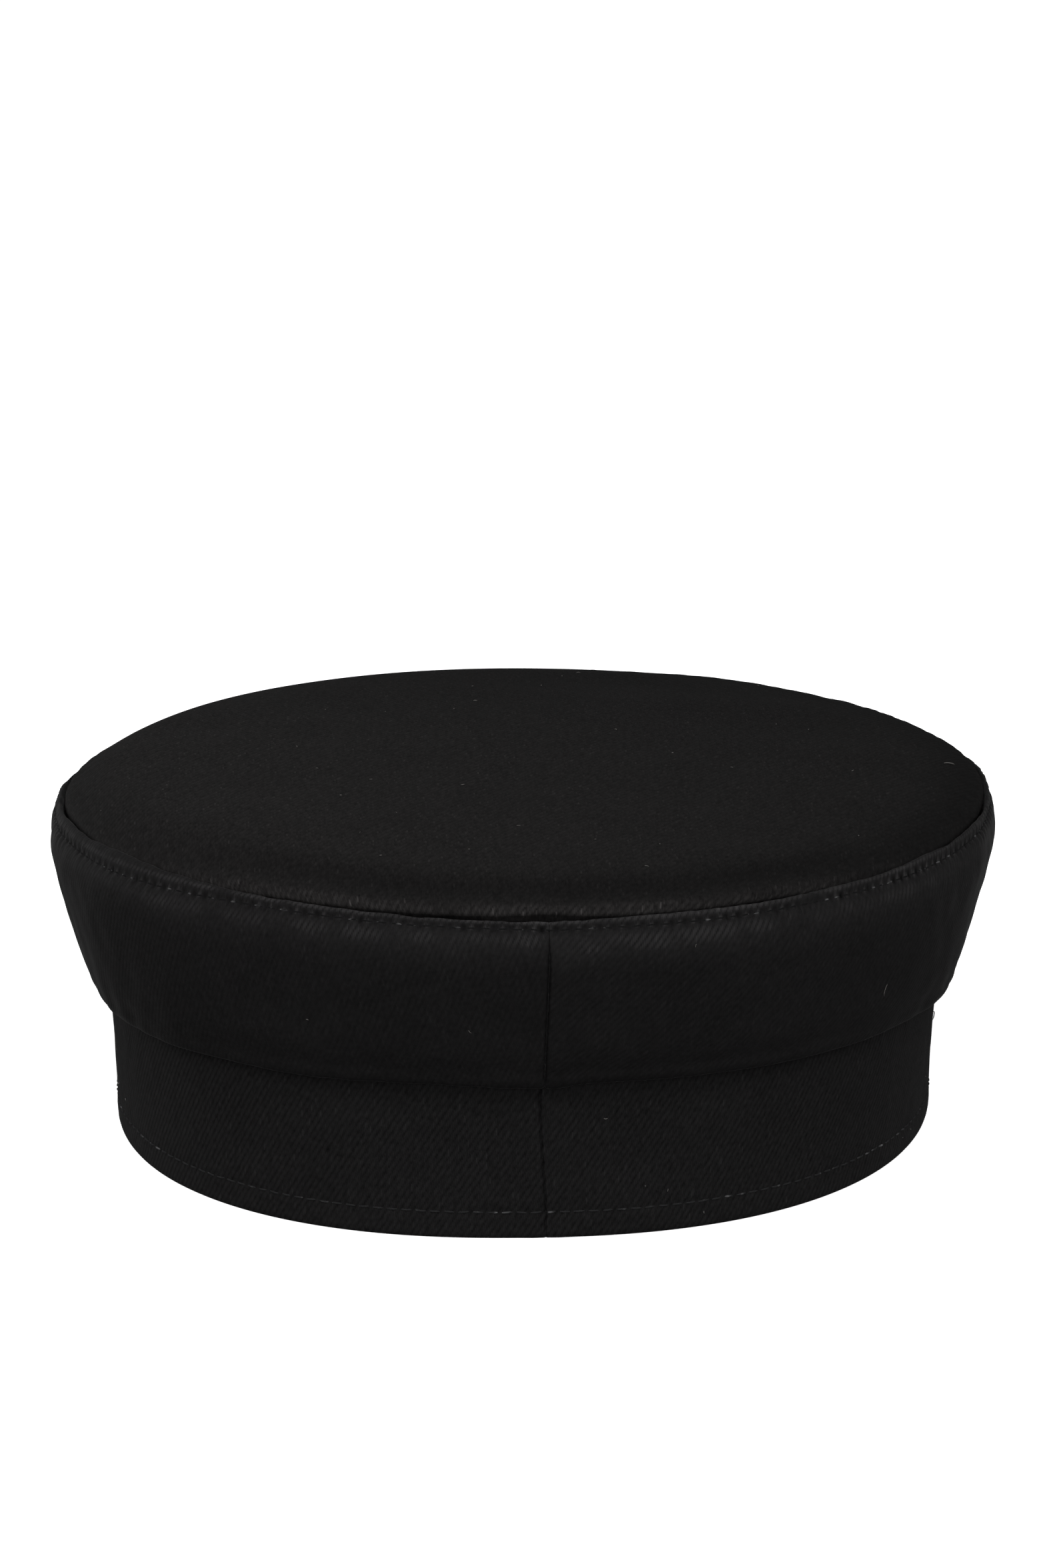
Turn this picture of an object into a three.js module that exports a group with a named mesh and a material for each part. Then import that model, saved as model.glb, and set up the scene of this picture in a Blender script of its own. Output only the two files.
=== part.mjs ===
// Baker boy cap, in millimetres. +Z is up, the peak points to -Y, and the back seam is at +Y.
// The origin is the middle of the head opening, on the plane the hem stands on.
import * as THREE from 'three';

const halfWidth = 84.5;         // outside of the headband at the hem, to the side
const halfLength = 96.5;        // the same, to the front and back
const squarenessLow = 2.25;     // exponent of the oval up to the top of the headband
const squarenessHigh = 2.05;    // exponent of the oval at the crown seam
const oneTurn = 2 * Math.PI;
const ringSteps = 72;           // facets round a full ring

const headbandWall = 2.0;
const hemWall = 2.8;            // the hem is turned up inside, so it is thicker
const hemHeight = 11;
const headbandTop = 33.5;       // its raw edge stands inside the crown

const crownWall = 1.8;
const lipHeight = 30;           // underside of the lip that hangs over the headband
const seamHeight = 66.5;        // crest of the band, beside the seam of the tip
const frontDroop = 4.0;         // the crown is this much lower over the peak
const seamGap = 0.3;            // between two sewn edges

const peakLength = 46;          // in front of the headband, on the centre line
const peakHalfAngle = THREE.MathUtils.degToRad(56);
const peakWall = 2.6;
const peakRootHeight = 4.6;
const peakEdgeHeight = 2.2;
const peakArch = 2.0;

// Walls are given as [outward, height]: outward is measured from the headband's outside at the hem.
const headbandOutside = [[0.2, 0], [0.55, 15], [1.3, headbandTop]];

const bandPath = [
  [1.75, 31.0],                 // flange against the headband
  [3.6, 31.0],
  [4.75, 31.9],                 // rolled lip
  [5.4, 33.8],
  [6.4, 37.2],
  [8.9, 45.0],                  // flared side
  [11.2, 54.0],
  [12.15, 58.5],                // widest
  [12.0, 61.5],
  [11.2, 64.1],
  [10.0, 65.6],                 // crest
  [9.1, 65.0],
  [8.8, 63.8],
  [8.8, 62.6],                  // turned in, down to its raw edge
];

const tipEdgePath = [
  [6.65, 62.6],                 // turned down beside the band
  [6.65, 64.6],
  [6.2, 66.0],
  [5.0, 67.4],
  [2.6, 68.7],
];
const tipDome = [               // [part of the way out to the last edge point, height]
  [0.935, 70.0],
  [0.84, 70.8],
  [0.68, 71.3],
  [0.46, 71.7],
  [0.22, 71.9],
];
const tipMiddle = 71.95;

function squareness(height) {
  const part = THREE.MathUtils.clamp((height - lipHeight) / (seamHeight - lipHeight), 0, 1);
  return THREE.MathUtils.lerp(squarenessLow, squarenessHigh, part);
}

// One point of the oval, at an angle from +X, moved outward and scaled towards the middle.
function ovalPoint(angle, outward, height, scale = 1) {
  const power = squareness(height);
  const across = Math.abs(Math.cos(angle)) / (halfWidth + outward);
  const along = Math.abs(Math.sin(angle)) / (halfLength + outward);
  const radius = scale * (across ** power + along ** power) ** (-1 / power);
  const x = radius * Math.cos(angle);
  const y = radius * Math.sin(angle);
  const share = THREE.MathUtils.smoothstep(height, lipHeight + 2, seamHeight - 4);
  const forward = Math.max(0, -y / (halfLength + outward));
  return [x, y, height - frontDroop * share * forward ** 1.5];
}

// Gives a path its two faces, half a wall to either side of it.
function thicken(path, wall) {
  const outside = [];
  const inside = [];
  path.forEach(([outward, height], index) => {
    const [fromOut, fromUp] = path[Math.max(index - 1, 0)];
    const [toOut, toUp] = path[Math.min(index + 1, path.length - 1)];
    const length = Math.hypot(toOut - fromOut, toUp - fromUp);
    const stepOut = (wall / 2) * (toUp - fromUp) / length;
    const stepUp = (wall / 2) * (fromOut - toOut) / length;
    outside.push([outward + stepOut, height + stepUp]);
    inside.push([outward - stepOut, height - stepUp]);
  });
  return { outside, inside };
}

function meshFrom(name, points, triangles, colour) {
  const geometry = new THREE.BufferGeometry();
  geometry.setAttribute('position', new THREE.Float32BufferAttribute(points.flat(), 3));
  geometry.setIndex(triangles.flat());
  geometry.computeVertexNormals();
  const material = new THREE.MeshStandardMaterial({ color: colour, roughness: 0.95 });
  const mesh = new THREE.Mesh(geometry, material);
  mesh.name = name;
  return mesh;
}

function quad(a, b, c, d) {
  return [[a, b, c], [a, c, d]];
}

// Sweeps a wall round the oval, from one angle to another. A full turn closes on itself.
function sweepWall({ outside, inside }, fromAngle, toAngle, steps) {
  const closed = toAngle - fromAngle > oneTurn - 1e-6;
  const loop = [...outside, ...inside.toReversed()];
  const rows = closed ? steps : steps + 1;
  const points = [];
  const triangles = [];
  for (let row = 0; row < rows; row += 1) {
    const angle = fromAngle + ((toAngle - fromAngle) * row) / steps;
    loop.forEach(([outward, height]) => points.push(ovalPoint(angle, outward, height)));
  }
  for (let row = 0; row < steps; row += 1) {
    const here = row * loop.length;
    const next = ((row + 1) % rows) * loop.length;
    loop.forEach((_, index) => {
      const after = (index + 1) % loop.length;
      triangles.push(...quad(here + index, next + index, next + after, here + after));
    });
  }
  if (!closed) {
    const last = steps * loop.length;
    for (let index = 0; index < outside.length - 1; index += 1) {
      const a = index;
      const b = index + 1;
      const c = loop.length - 2 - index;
      const d = loop.length - 1 - index;
      triangles.push(...quad(a, b, c, d), ...quad(last + d, last + c, last + b, last + a));
    }
  }
  return { points, triangles };
}

// The band is in two halves, so each stops half a gap short of the seams at the front and back.
function bandHalf(name, middleAngle) {
  const reach = Math.PI / 2 - seamGap / 2 / (halfLength + bandPath[7][0]);
  const wall = thicken(bandPath, crownWall);
  const { points, triangles } = sweepWall(wall, middleAngle - reach, middleAngle + reach, ringSteps / 2);
  return meshFrom(name, points, triangles, 0x242225);
}

function headband() {
  const top = headbandOutside.length - 1;
  const outside = [
    headbandOutside[0],
    [0.45, hemHeight],
    [0.48, hemHeight + 1],
    headbandOutside[1],
    headbandOutside[top],
  ];
  const inside = [
    [outside[0][0] - hemWall, 0],
    [outside[1][0] - hemWall, hemHeight],
    [outside[2][0] - headbandWall, hemHeight + 1],
    [outside[3][0] - headbandWall, outside[3][1]],
    [outside[4][0] - headbandWall, headbandTop],
  ];
  const { points, triangles } = sweepWall({ outside, inside }, 0, oneTurn, ringSteps);
  return meshFrom('headband', points, triangles, 0x28272a);
}

// The tip is a shallow dome: rings shrink towards one middle point on each of its two faces.
function crownTip() {
  const edge = thicken(tipEdgePath, crownWall);
  const [lastOut] = tipEdgePath[tipEdgePath.length - 1];
  const points = [];
  const triangles = [];
  const addFace = (edgePoints, drop) => {
    const first = points.length;
    const rings = [
      ...edgePoints.map(([outward, height]) => [outward, height, 1]),
      ...tipDome.map(([scale, height]) => [lastOut, height - drop, scale]),
    ];
    rings.forEach(([outward, height, scale]) => {
      for (let step = 0; step < ringSteps; step += 1) {
        points.push(ovalPoint((oneTurn * step) / ringSteps, outward, height, scale));
      }
    });
    points.push([0, 0, tipMiddle - drop]);
    return { first, count: rings.length, middle: points.length - 1 };
  };
  const top = addFace(edge.outside, -crownWall / 2);
  const under = addFace(edge.inside, crownWall / 2);
  for (let step = 0; step < ringSteps; step += 1) {
    const next = (step + 1) % ringSteps;
    for (let ring = 0; ring < top.count - 1; ring += 1) {
      const topHere = top.first + ring * ringSteps;
      const underHere = under.first + ring * ringSteps;
      triangles.push(
        ...quad(topHere + step, topHere + next, topHere + ringSteps + next, topHere + ringSteps + step),
        ...quad(underHere + next, underHere + step, underHere + ringSteps + step, underHere + ringSteps + next),
      );
    }
    const topInner = top.first + (top.count - 1) * ringSteps;
    const underInner = under.first + (under.count - 1) * ringSteps;
    triangles.push([topInner + step, topInner + next, top.middle]);
    triangles.push([underInner + next, underInner + step, under.middle]);
    triangles.push(...quad(under.first + step, under.first + next, top.first + next, top.first + step));
  }
  return meshFrom('crown_tip', points, triangles, 0x2b2826);
}

// The peak runs from a root line on the headband to a rounded outer edge, on two faces.
function peak() {
  const acrossSteps = 28;
  const outSteps = 8;
  const rootOut = 0.75;
  const cornerLength = 1.5;
  const points = [];
  const triangles = [];
  [1, -1].forEach((side) => {
    for (let across = 0; across <= acrossSteps; across += 1) {
      const part = (2 * across) / acrossSteps - 1;
      const angle = part * peakHalfAngle - Math.PI / 2;
      const fullness = Math.abs(Math.cos((part * Math.PI) / 2));
      const length = cornerLength + (peakLength - cornerLength) * fullness ** 1.1;
      for (let out = 0; out <= outSteps; out += 1) {
        const share = out / outSteps;
        const [x, y] = ovalPoint(angle, rootOut + length * share, 0);
        const arch = peakArch * 4 * share * (1 - share) * fullness ** 2;
        const middle = THREE.MathUtils.lerp(peakRootHeight, peakEdgeHeight, share) + arch;
        points.push([x, y, middle + (side * peakWall) / 2]);
      }
    }
  });
  const columns = outSteps + 1;
  const under = (acrossSteps + 1) * columns;
  for (let across = 0; across < acrossSteps; across += 1) {
    for (let out = 0; out < outSteps; out += 1) {
      const a = across * columns + out;
      const b = a + columns;
      triangles.push(...quad(a, a + 1, b + 1, b), ...quad(under + a, under + b, under + b + 1, under + a + 1));
    }
    const root = across * columns;
    const edge = root + outSteps;
    triangles.push(...quad(root, root + columns, under + root + columns, under + root));
    triangles.push(...quad(edge + columns, edge, under + edge, under + edge + columns));
  }
  for (let out = 0; out < outSteps; out += 1) {
    const far = acrossSteps * columns + out;
    triangles.push(...quad(out + 1, out, under + out, under + out + 1));
    triangles.push(...quad(far, far + 1, under + far + 1, under + far));
  }
  return meshFrom('peak', points, triangles, 0x28272a);
}

const cap = new THREE.Group();
cap.name = 'baker_boy_cap';
cap.add(crownTip(), bandHalf('crown_band_left', 0), bandHalf('crown_band_right', Math.PI), headband(), peak());

export default cap;
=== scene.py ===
import math

import bpy
import numpy as np
from mathutils import Matrix


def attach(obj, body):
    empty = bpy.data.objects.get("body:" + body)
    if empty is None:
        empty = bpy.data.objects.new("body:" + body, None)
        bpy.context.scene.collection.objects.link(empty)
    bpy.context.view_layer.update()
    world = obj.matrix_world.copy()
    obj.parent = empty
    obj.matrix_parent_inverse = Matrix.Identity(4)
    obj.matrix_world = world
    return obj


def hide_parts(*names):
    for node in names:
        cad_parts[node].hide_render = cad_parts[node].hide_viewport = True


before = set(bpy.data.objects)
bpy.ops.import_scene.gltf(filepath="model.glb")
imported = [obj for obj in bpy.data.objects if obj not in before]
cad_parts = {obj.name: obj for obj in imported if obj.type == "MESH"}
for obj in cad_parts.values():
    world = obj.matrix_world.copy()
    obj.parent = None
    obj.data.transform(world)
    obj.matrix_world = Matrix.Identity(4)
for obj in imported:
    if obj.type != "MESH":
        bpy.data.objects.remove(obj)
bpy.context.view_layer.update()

mm = 0.001  # shapes are worked out in millimetres and stored in metres
near = 0.2  # slopes along a row of stitches are read over this many millimetres

# The cap's plan is one oval. Walls are lines of [outward, up], counted from the headband's hem.
oval = {
    "halfWidth": 84.5,
    "halfLength": 96.5,
    "squareLow": 2.25,  # power of the oval at the headband
    "squareHigh": 2.05,  # power of the oval at the tip
    "lipHeight": 30.0,
    "seamHeight": 66.5,
    "skewLow": math.radians(-2.6),  # soft cloth: the long axis sits a little off the back seam
    "skewHigh": math.radians(-5.8),
    "skewRise": [30, 58],  # the heights between which it turns from low to high
    "crownRise": [31, 56],  # the heights between which the crown's own waves set in
    "frontDroop": 4.0,  # the crown is lower over the peak
    # slow waves round the cap: how many, cosine part, sine part
    "headbandWaves": [(2, 0.21, -0.61), (3, -0.55, -0.53)],
    "crownWaves": [(1, -0.66, 1.48), (2, 0.07, -2.42), (3, -0.02, 0.73)],
    "liftWaves": [(0, -0.35, 0.0), (1, 0.09, -1.36), (2, 0.21, -0.45)],
}

stitch = {
    "pitch": 2.8,
    "length": 2.3,
    "lengthSpread": [0.88, 1.08],
    "radius": 0.2,
    "lean": 0.06,
    "rings": [-0.985, -0.8, -0.35, 0.35, 0.8, 0.985],  # its sections, from end to end
}


def smoothStep(low, high, x):
    # 0 at low, 1 at high; low may be the larger
    t = np.clip((x - low) / (high - low), 0, 1)
    return t * t * (3 - 2 * t)


def bell(x, width):
    # e to the minus (x over width) squared
    return np.exp(-((x / width) ** 2))


def ridges(x, parts):
    # Sum of bells, each [place, half width, height]
    return sum(height * bell(x - place, width) for place, width, height in parts)


def waves(turn, parts):
    # Sum of cosine part * cos(k turn) + sine part * sin(k turn)
    return sum(cosine * np.cos(k * turn) + sine * np.sin(k * turn) for k, cosine, sine in parts)


def unit(vectors):
    return vectors / np.linalg.norm(vectors, axis=-1, keepdims=True)


def runningLength(points):
    return np.append(0, np.cumsum(np.linalg.norm(np.diff(points, axis=0), axis=1)))


def fromMiddle(along, step):
    # Distance from the middle of the step that a place lies in
    return (along / step - np.floor(along / step) - 0.5) * step


def roundOff(fromEdge, radius):
    # Drop of a rounded edge: r - (r^2 - (r - distance)^2)^0.5, and nothing past r
    inside = np.clip(radius - fromEdge, 0, None)
    return radius - np.sqrt(np.clip(radius ** 2 - inside ** 2, 0, None))


def onOval(turn, outward, up, scale=1.0):
    # Superellipse: (|across| / a)^n + (|along| / b)^n = 1, in polar form about the middle, plus slow waves.
    # turn is 0 at the back seam and grows towards the wearer's right.
    share = np.clip((up - oval["lipHeight"]) / (oval["seamHeight"] - oval["lipHeight"]), 0, 1)
    power = oval["squareLow"] + (oval["squareHigh"] - oval["squareLow"]) * share
    skew = oval["skewLow"] + (oval["skewHigh"] - oval["skewLow"]) * smoothStep(*oval["skewRise"], up)
    inCrown = smoothStep(*oval["crownRise"], up)
    across = np.abs(np.sin(turn - skew)) / (oval["halfWidth"] + outward)
    along = np.abs(np.cos(turn - skew)) / (oval["halfLength"] + outward)
    radius = (across ** power + along ** power) ** (-1 / power)
    radius = radius + waves(turn, oval["headbandWaves"]) + inCrown * waves(turn, oval["crownWaves"])
    radius = scale * radius
    x = -radius * np.sin(turn)
    y = radius * np.cos(turn)
    forward = np.clip(-y / (oval["halfLength"] + outward), 0, None)
    droop = oval["frontDroop"] * smoothStep(oval["lipHeight"] + 2, oval["seamHeight"] - 4, up)
    lifted = up - droop * forward ** 1.5 + inCrown * scale * waves(turn, oval["liftWaves"])
    return np.stack(np.broadcast_arrays(x, y, lifted), axis=-1)


def turnTable(outward, up):
    # Running length round one ring, so that cloth is laid out by true length, and the whole of it. It is
    # zero at the back seam, and each side is stretched a trace so that both reach the front at half.
    turn = np.linspace(-math.pi, math.pi, 3601)
    ring = onOval(turn, np.full_like(turn, outward), np.full_like(turn, up))
    length = runningLength(ring[:, :2])
    whole, back = length[-1], np.interp(0, turn, length)
    length = (length - back) * np.where(turn < 0, whole / 2 / back, whole / 2 / (whole - back))
    return turn, length, length[-1] - length[0]


def smoothLine(points, spacing=0.05):
    # Hermite curve through the points, with parabolic slopes over the chord length.
    # Gives length, outward, up and the two parts of the normal, at even steps.
    p = np.asarray(points, float)
    chord = np.linalg.norm(np.diff(p, axis=0), axis=1)
    knot = np.append(0, np.cumsum(chord))
    slope = np.diff(p, axis=0) / chord[:, None]
    before, after = chord[:-1, None], chord[1:, None]
    inner = (after * slope[:-1] + before * slope[1:]) / (after + before)
    tangent = np.vstack([slope[:1], inner, slope[-1:]])
    at = np.linspace(0, knot[-1], int(knot[-1] / spacing) + 2)
    span = np.clip(np.searchsorted(knot, at, side="right") - 1, 0, len(chord) - 1)
    t = ((at - knot[span]) / chord[span])[:, None]
    h = chord[span][:, None]
    curve = (
        (2 * t ** 3 - 3 * t ** 2 + 1) * p[span]
        + (t ** 3 - 2 * t ** 2 + t) * h * tangent[span]
        + (3 * t ** 2 - 2 * t ** 3) * p[span + 1]
        + (t ** 3 - t ** 2) * h * tangent[span + 1]
    )
    length = runningLength(curve)
    way = unit(np.gradient(curve, length, axis=0))
    return np.column_stack([length, curve, way[:, 1], -way[:, 0]])


def pick(line, length):
    # Reads a smooth line at some lengths: outward, up and normal.
    return [np.interp(length, line[:, 0], line[:, column]) for column in range(1, 5)]


def spread(start, end, count, crowd=()):
    # count places from start to end, closer together near each crowd of (place, width, strength).
    fine = np.linspace(start, end, 4000)
    density = np.ones_like(fine)
    for place, width, strength in crowd:
        density += strength * bell(fine - place, width)
    total = np.append(0, np.cumsum((density[1:] + density[:-1]) / 2))
    return np.interp(np.linspace(0, total[-1], count), total, fine)


def ripples(across, up, around, lengths, seed, count=24):
    # Sum of cosine waves in random directions. A whole number of waves goes round, so the ends meet.
    dice = np.random.default_rng(seed)
    total = np.zeros(np.broadcast(across, up).shape)
    for _ in range(count):
        wave = dice.uniform(*lengths)
        slant = dice.uniform(0, 2 * math.pi)
        whole = round(around / wave * math.cos(slant))
        phase = dice.uniform(0, 2 * math.pi)
        total += np.cos(2 * math.pi * (whole * across / around + math.sin(slant) * up / wave) + phase)
    return total / math.sqrt(count / 2)


def softForm(across, up, around, parts):
    # Ripples of several sizes, each [height, shortest wave, longest wave, seed]
    return sum(high * ripples(across, up, around, lengths, seed) for high, *lengths, seed in parts)


def newObject(name, data):
    made = bpy.data.objects.new(name, data)
    bpy.context.scene.collection.objects.link(made)
    return made


def addMesh(name, points, faces, corners, material, wearAndPaintedLight=None):
    # points in millimetres, faces as a list of index arrays, corners as flat coordinates in metres,
    # and the last as one value for each point: how much paler or darker the cloth is there,
    # partly rubbed cloth and partly painted light and shade
    mesh = bpy.data.meshes.new(name)
    rows = [row for part in faces for row in part.tolist()]
    mesh.from_pydata((np.asarray(points) * mm).tolist(), [], rows)
    mesh.polygons.foreach_set("use_smooth", np.ones(len(mesh.polygons), bool))
    if corners is not None:
        layer = mesh.uv_layers.new(name="cloth")
        layer.data.foreach_set("uv", np.asarray(corners, np.float32).ravel())
    if wearAndPaintedLight is not None:
        layer = mesh.attributes.new("wearAndPaintedLight", "FLOAT", "POINT")
        layer.data.foreach_set("value", np.asarray(wearAndPaintedLight, np.float32).ravel())
    mesh.materials.append(material)
    mesh.update()
    return newObject(name, mesh)


def finishPiece(piece, *nodes):
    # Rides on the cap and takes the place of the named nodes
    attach(piece, "root")
    if nodes:
        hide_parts(*nodes)
    return piece


def gridFaces(rows, columns, wrapRows, wrapColumns):
    # Quads between neighbours on a grid, and the same corners counted without wrapping round.
    i, j = np.indices((rows - (not wrapRows), columns - (not wrapColumns))).reshape(2, -1)
    rowsOf = np.column_stack([i, i + 1, i + 1, i])
    columnsOf = np.column_stack([j, j, j + 1, j + 1])
    faces = (rowsOf % rows) * columns + columnsOf % columns
    flat = rowsOf * (columns + wrapColumns) + columnsOf
    return faces, flat


def addWall(name, points, laid, wrapRound, material, wearAndPaintedLight=None, under=None, split=0):
    # points go round the cap, then round the closed section of the wall. Open ends are capped. laid is the
    # cloth laid flat, and under is a second cloth, which the faces from the column split on are cut from.
    rows, columns = points.shape[:2]
    faces, flat = gridFaces(rows, columns, wrapRound, True)
    cut = laid.reshape(-1, 2)[flat]
    if under is not None:
        onUnder = flat[:, 0] % (columns + 1) >= split
        cut[onUnder] = under.reshape(-1, 2)[flat[onUnder]]
    parts = [faces]
    corners = [cut.reshape(-1, 2)]
    if not wrapRound:
        start = np.arange(columns)[None, :]
        parts += [start, (rows - 1) * columns + start[:, ::-1]]
        corners += [laid[0, :columns], laid[-1, :columns][::-1]]
    return addMesh(name, points.reshape(-1, 3), parts, np.concatenate(corners), material, wearAndPaintedLight)


def addBars(name, bars, material):
    # Many small bars in one mesh. Each is rings of points along it, and both its ends are capped.
    count, rings, sides = bars.shape[:3]
    faces, _ = gridFaces(rings, sides, False, True)
    first = np.arange(count)[:, None] * rings * sides
    quads = (faces[None] + first[:, :, None]).reshape(-1, 4)
    cap = first + np.arange(sides)[None, :]
    parts = [quads[:, ::-1], cap[:, ::-1], cap + (rings - 1) * sides]
    return finishPiece(addMesh(name, bars.reshape(-1, 3), parts, None, material))


def ringAngles(sides):
    return (np.arange(sides) * 2 * math.pi / sides)[:, None]


def rowOn(shape, runAt):
    # A row sewn along a wall: the cloth's points, and the smooth cloth's outward ways.
    def read(along):
        run = runAt(along)
        here = shape(along, run, 0.0)
        out = np.cross(shape(along + near, run, 0.0) - here, shape(along, run + near, 0.0) - here)
        return shape(along, run, 1.0), unit(out)
    return read


def stitchRow(name, read, centres, material, seed, sink):
    # Each stitch is a round bar that dives into the cloth at both ends: with s from -1 to 1 along it, its
    # height follows 1 - s^4 and its radius (1 - s^6)^0.5.
    dice = np.random.default_rng(seed)
    count = len(centres)
    s = np.array(stitch["rings"])
    long = (stitch["length"] / 2) * dice.uniform(*stitch["lengthSpread"], count)[:, None]
    along = centres[:, None] + s * long
    middle, out = read(along)
    way = unit(read(along + near)[0] - read(along - near)[0])
    side = np.cross(out, way)
    angle = ringAngles(6)
    radius = (stitch["radius"] * np.sqrt(1 - s ** 6))[..., None, None]
    rise = (stitch["radius"] * (1.05 * (1 - s ** 4) - 0.55) - sink)[..., None, None]
    drift = (dice.normal(0, stitch["lean"], count)[:, None] * s)[..., None, None]
    out, side, middle = out[:, :, None], side[:, :, None], middle[:, :, None]
    bars = middle + side * (radius * np.cos(angle) + drift) + out * (radius * np.sin(angle) + rise)
    return addBars(name, bars, material)


def bothWays(operation):
    # An operator of the class below, and its reflected form
    return (
        lambda self, other: self.math(operation, self, other),
        lambda self, other: self.math(operation, other, self),
    )


class Wire:
    # One shader socket. Sums with it add Math nodes, and node() adds any other kind.
    def __init__(self, tree, socket=None):
        self.tree = tree
        self.socket = socket

    def node(self, kind, settings=None, sockets=None, output=0):
        made = self.tree.nodes.new(kind)
        for name, value in (settings or {}).items():
            setattr(made, name, value)
        for name, value in (sockets or {}).items():
            if isinstance(value, Wire):
                self.tree.links.new(value.socket, made.inputs[name])
            else:
                made.inputs[name].default_value = value
        return Wire(self.tree, made.outputs[output] if made.outputs else None)

    def other(self, output):
        return Wire(self.tree, self.socket.node.outputs[output])

    def math(self, operation, *values):
        return self.node("ShaderNodeMath", {"operation": operation}, dict(enumerate(values)))

    __add__, __radd__ = bothWays("ADD")
    __sub__, __rsub__ = bothWays("SUBTRACT")
    __mul__, __rmul__ = bothWays("MULTIPLY")
    __truediv__, __rtruediv__ = bothWays("DIVIDE")
    __pow__, __rpow__ = bothWays("POWER")

    def floor(self):
        return self.math("FLOOR", self)

    def fraction(self):
        return self.math("FRACT", self)

    def sine(self):
        return self.math("SINE", self)

    def clamp(self, low=0.0, high=1.0):
        return self.node("ShaderNodeClamp", None, {"Value": self, "Min": low, "Max": high})

    def noise(self, place, scale, detail):
        return self.node("ShaderNodeTexNoise", None, {"Vector": place, "Scale": scale, "Detail": detail})

    def blend(self, share, first, second):
        sockets = {0: share, 6: first, 7: second}
        return self.node("ShaderNodeMix", {"data_type": "RGBA"}, sockets, output=2)


def newMaterial(name):
    material = bpy.data.materials.new(name)
    material.use_nodes = True
    material.node_tree.nodes.clear()
    return material, Wire(material.node_tree)


def surface(start, sockets):
    # Principled surface into the material's output
    shader = start.node("ShaderNodeBsdfPrincipled", None, sockets)
    start.node("ShaderNodeOutputMaterial", None, {"Surface": shader})


cloth = {
    "warpPitch": 0.000315,  # between warp yarns
    "pickPitch": 0.0005,  # between weft yarns, which sets the slope of the ribs
    "repeat": 4,  # over three, under one
    "floatShare": 0.82,  # the part of each repeat that lies on top
    "wander": 900.0,  # the yarns stray: waves per metre, then how far, in yarns and in repeats
    "wanderAcross": 0.5,
    "wanderAlong": 0.12,
    "ribDepth": 0.00008,
    "colour": (0.0101, 0.0097, 0.0099),
    "ribContrast": 0.9,  # valleys painted darker and ridges lighter, painted shade and highlight on the ribs, as a share of the colour
    "fleck": 0.6,  # uneven brightness along the ribs
    "fleckLength": 2.2,  # in ribs
    "grain": 0.5,  # speckle of fibres and yarns
    "grainScale": 1100.0,
    "float": 0.15,  # each float is a little lighter or darker than the next
    "glint": 0.5,  # a few floats are painted lighter still, as painted glints
    "glintShare": 0.03,
    "patch": 0.16,  # slow unevenness
    "patchScale": 60.0,
    "paleFrom": 0.15,  # tone above this is paler cloth, partly rubbed and partly painted highlight
    "paleContrast": 4.0,  # where ribs and glints stand out more
    "roughness": 0.75,
    "specular": 0.05,
    "sheen": 0.0,  # the nap, which shows where the cloth turns away
    "sheenRoughness": 0.25,
}


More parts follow.
